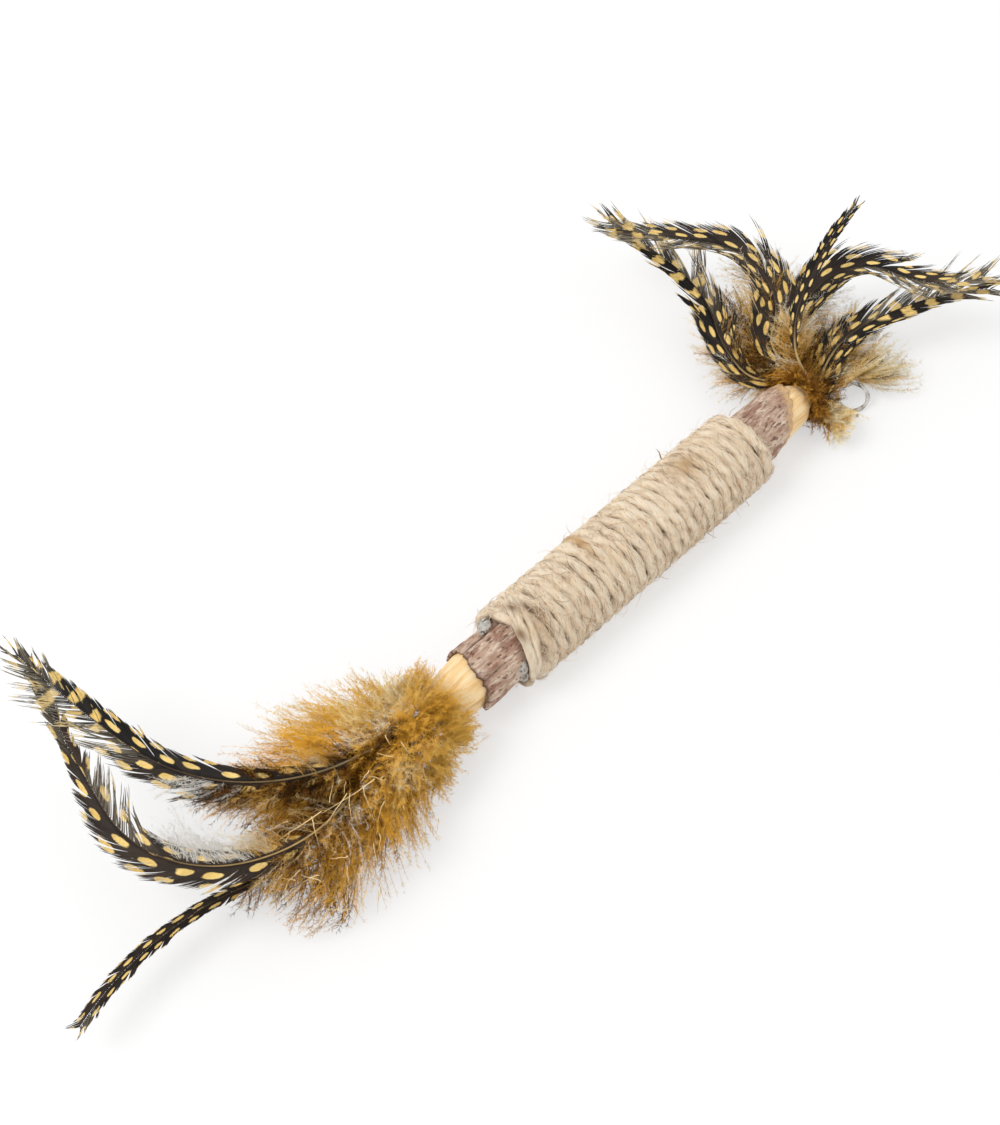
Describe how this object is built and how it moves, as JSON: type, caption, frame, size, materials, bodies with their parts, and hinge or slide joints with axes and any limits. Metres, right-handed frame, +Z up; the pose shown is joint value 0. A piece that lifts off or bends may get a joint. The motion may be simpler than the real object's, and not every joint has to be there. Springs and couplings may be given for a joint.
{
  "type": "cat teaser wand",
  "caption": "Short twig toy for a cat, wound with jute twine, with spotted feathers and soft down in both ends.",
  "frame": {"origin": "on the table, under the winding and near its middle, where a flat on the twine rests", "axes": "+X along the twig from the larger, golden tuft on the left to the smaller, brown tuft on the right; +Y to the back, the side that the long feathers sweep towards; +Z up from the table"},
  "size_m": [0.2752, 0.0891, 0.0323],
  "materials": {
    "bare_wood": "pared, matt",
    "pith": "soft, matt",
    "bark": "rough, flaking, pinkish brown",
    "jute_twine": "twisted natural fibre",
    "hot_glue": "set hot-melt glue, shiny",
    "clear_glue": "clear thread of hot-melt glue",
    "quill": "horny, satin",
    "spotted_vane": "feather, near black with golden oval spots",
    "golden_down": "dyed down",
    "brown_down": "dyed down, greenish brown to gold"
  },
  "bodies": {
    "stick": {"wood_core": "bare_wood", "pith": "pith", "bark": "bark", "twine_winding": "jute_twine", "left_glue_plug": "hot_glue", "right_glue_plug": "hot_glue", "upper_glue_dab": "hot_glue", "lower_glue_dab": "hot_glue", "glue_string": "clear_glue", "upper_left_quill": "quill", "lower_left_quill": "quill", "narrow_left_quill": "quill", "outer_back_quill": "quill", "inner_back_quill": "quill", "narrow_right_quill": "quill", "inner_front_quill": "quill", "outer_front_quill": "quill", "top_left_plume": "golden_down", "front_left_plume": "golden_down", "under_front_left_plume": "golden_down", "under_back_left_plume": "golden_down", "back_left_plume": "golden_down", "back_right_plume": "brown_down", "middle_right_plume": "brown_down", "front_right_plume": "brown_down", "low_right_plume": "brown_down"},
    "upper_left_feather": {"upper_left_vane": "spotted_vane"},
    "lower_left_feather": {"lower_left_vane": "spotted_vane"},
    "narrow_left_feather": {"narrow_left_vane": "spotted_vane"},
    "outer_back_feather": {"outer_back_vane": "spotted_vane"},
    "inner_back_feather": {"inner_back_vane": "spotted_vane"},
    "narrow_right_feather": {"narrow_right_vane": "spotted_vane"},
    "inner_front_feather": {"inner_front_vane": "spotted_vane"},
    "outer_front_feather": {"outer_front_vane": "spotted_vane"}
  },
  "joints": [
    {"name": "upper_left_flex", "type": "hinge", "parent": "stick", "child": "upper_left_feather", "pos_m": [-0.10102, 0.00228, 0.02309], "axis": [0.9241, 0.3821, 0], "range_deg": [-6, 20], "stiffness_Nm_per_rad": 0.003},
    {"name": "lower_left_flex", "type": "hinge", "parent": "stick", "child": "lower_left_feather", "pos_m": [-0.11098, -0.00696, 0.01975], "axis": [0.9839, 0.1786, 0], "range_deg": [-6, 20], "stiffness_Nm_per_rad": 0.003},
    {"name": "narrow_left_flex", "type": "hinge", "parent": "stick", "child": "narrow_left_feather", "pos_m": [-0.12056, -0.00217, 0.00866], "axis": [-0.0037, 1, 0], "range_deg": [-6, 20], "stiffness_Nm_per_rad": 0.003},
    {"name": "outer_back_flex", "type": "hinge", "parent": "stick", "child": "outer_back_feather", "pos_m": [0.05375, 0.01553, 0.00936], "axis": [0.992, -0.1266, 0], "range_deg": [-6, 20], "stiffness_Nm_per_rad": 0.003},
    {"name": "inner_back_flex", "type": "hinge", "parent": "stick", "child": "inner_back_feather", "pos_m": [0.06057, 0.01056, 0.01336], "axis": [0.9939, 0.1107, 0], "range_deg": [-6, 20], "stiffness_Nm_per_rad": 0.003},
    {"name": "narrow_right_flex", "type": "hinge", "parent": "stick", "child": "narrow_right_feather", "pos_m": [0.0636, 0.00811, 0.01695], "axis": [0.2973, -0.9548, 0], "range_deg": [-6, 20], "stiffness_Nm_per_rad": 0.003},
    {"name": "inner_front_flex", "type": "hinge", "parent": "stick", "child": "inner_front_feather", "pos_m": [0.06611, 0.01142, 0.01184], "axis": [-0.5184, -0.8551, 0], "range_deg": [-6, 20], "stiffness_Nm_per_rad": 0.003},
    {"name": "outer_front_flex", "type": "hinge", "parent": "stick", "child": "outer_front_feather", "pos_m": [0.06612, 0.0007, 0.00903], "axis": [-0.3453, -0.9385, 0], "range_deg": [-6, 20], "stiffness_Nm_per_rad": 0.003}
  ],
  "couplings": [
    {"joint": "lower_left_flex", "follows": "upper_left_flex", "ratio": 1},
    {"joint": "inner_back_flex", "follows": "outer_back_flex", "ratio": 1},
    {"joint": "outer_front_flex", "follows": "inner_front_flex", "ratio": 1}
  ]
}
